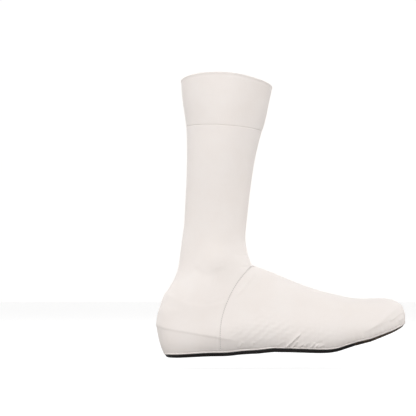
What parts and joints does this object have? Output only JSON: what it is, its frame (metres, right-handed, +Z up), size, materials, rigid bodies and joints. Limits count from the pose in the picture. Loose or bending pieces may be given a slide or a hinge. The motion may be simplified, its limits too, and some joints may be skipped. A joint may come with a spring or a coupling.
{
  "type": "cycling overshoe",
  "caption": "Tall white stretch overshoe for a left cycling shoe, with a doubled cuff band, a seamed vamp, a brown woven toe guard and a thin black undersole.",
  "frame": {"origin": "the mount shoe_seat: the point under the ankle at the level of the shoe's sole, where the shoed foot that holds the overshoe up stands", "axes": "+X to the toe, +Z up the leg, +Y to the outer side of the left foot"},
  "size_m": [0.2978, 0.1039, 0.3358],
  "materials": {
    "white_cloth": "matt stretch knit with a faint sheen",
    "white_binding": "smooth rolled edge",
    "brown_woven": "coarse glittering weave of brown and black yarn",
    "black_sole": "matt coated cloth"
  },
  "bodies": {
    "root": {"cuff_band": "white_cloth", "leg_heel_panel": "white_cloth", "vamp_panel": "white_cloth", "hem_binding": "white_binding", "toe_guard": "brown_woven", "undersole": "black_sole"}
  },
  "joints": []
}
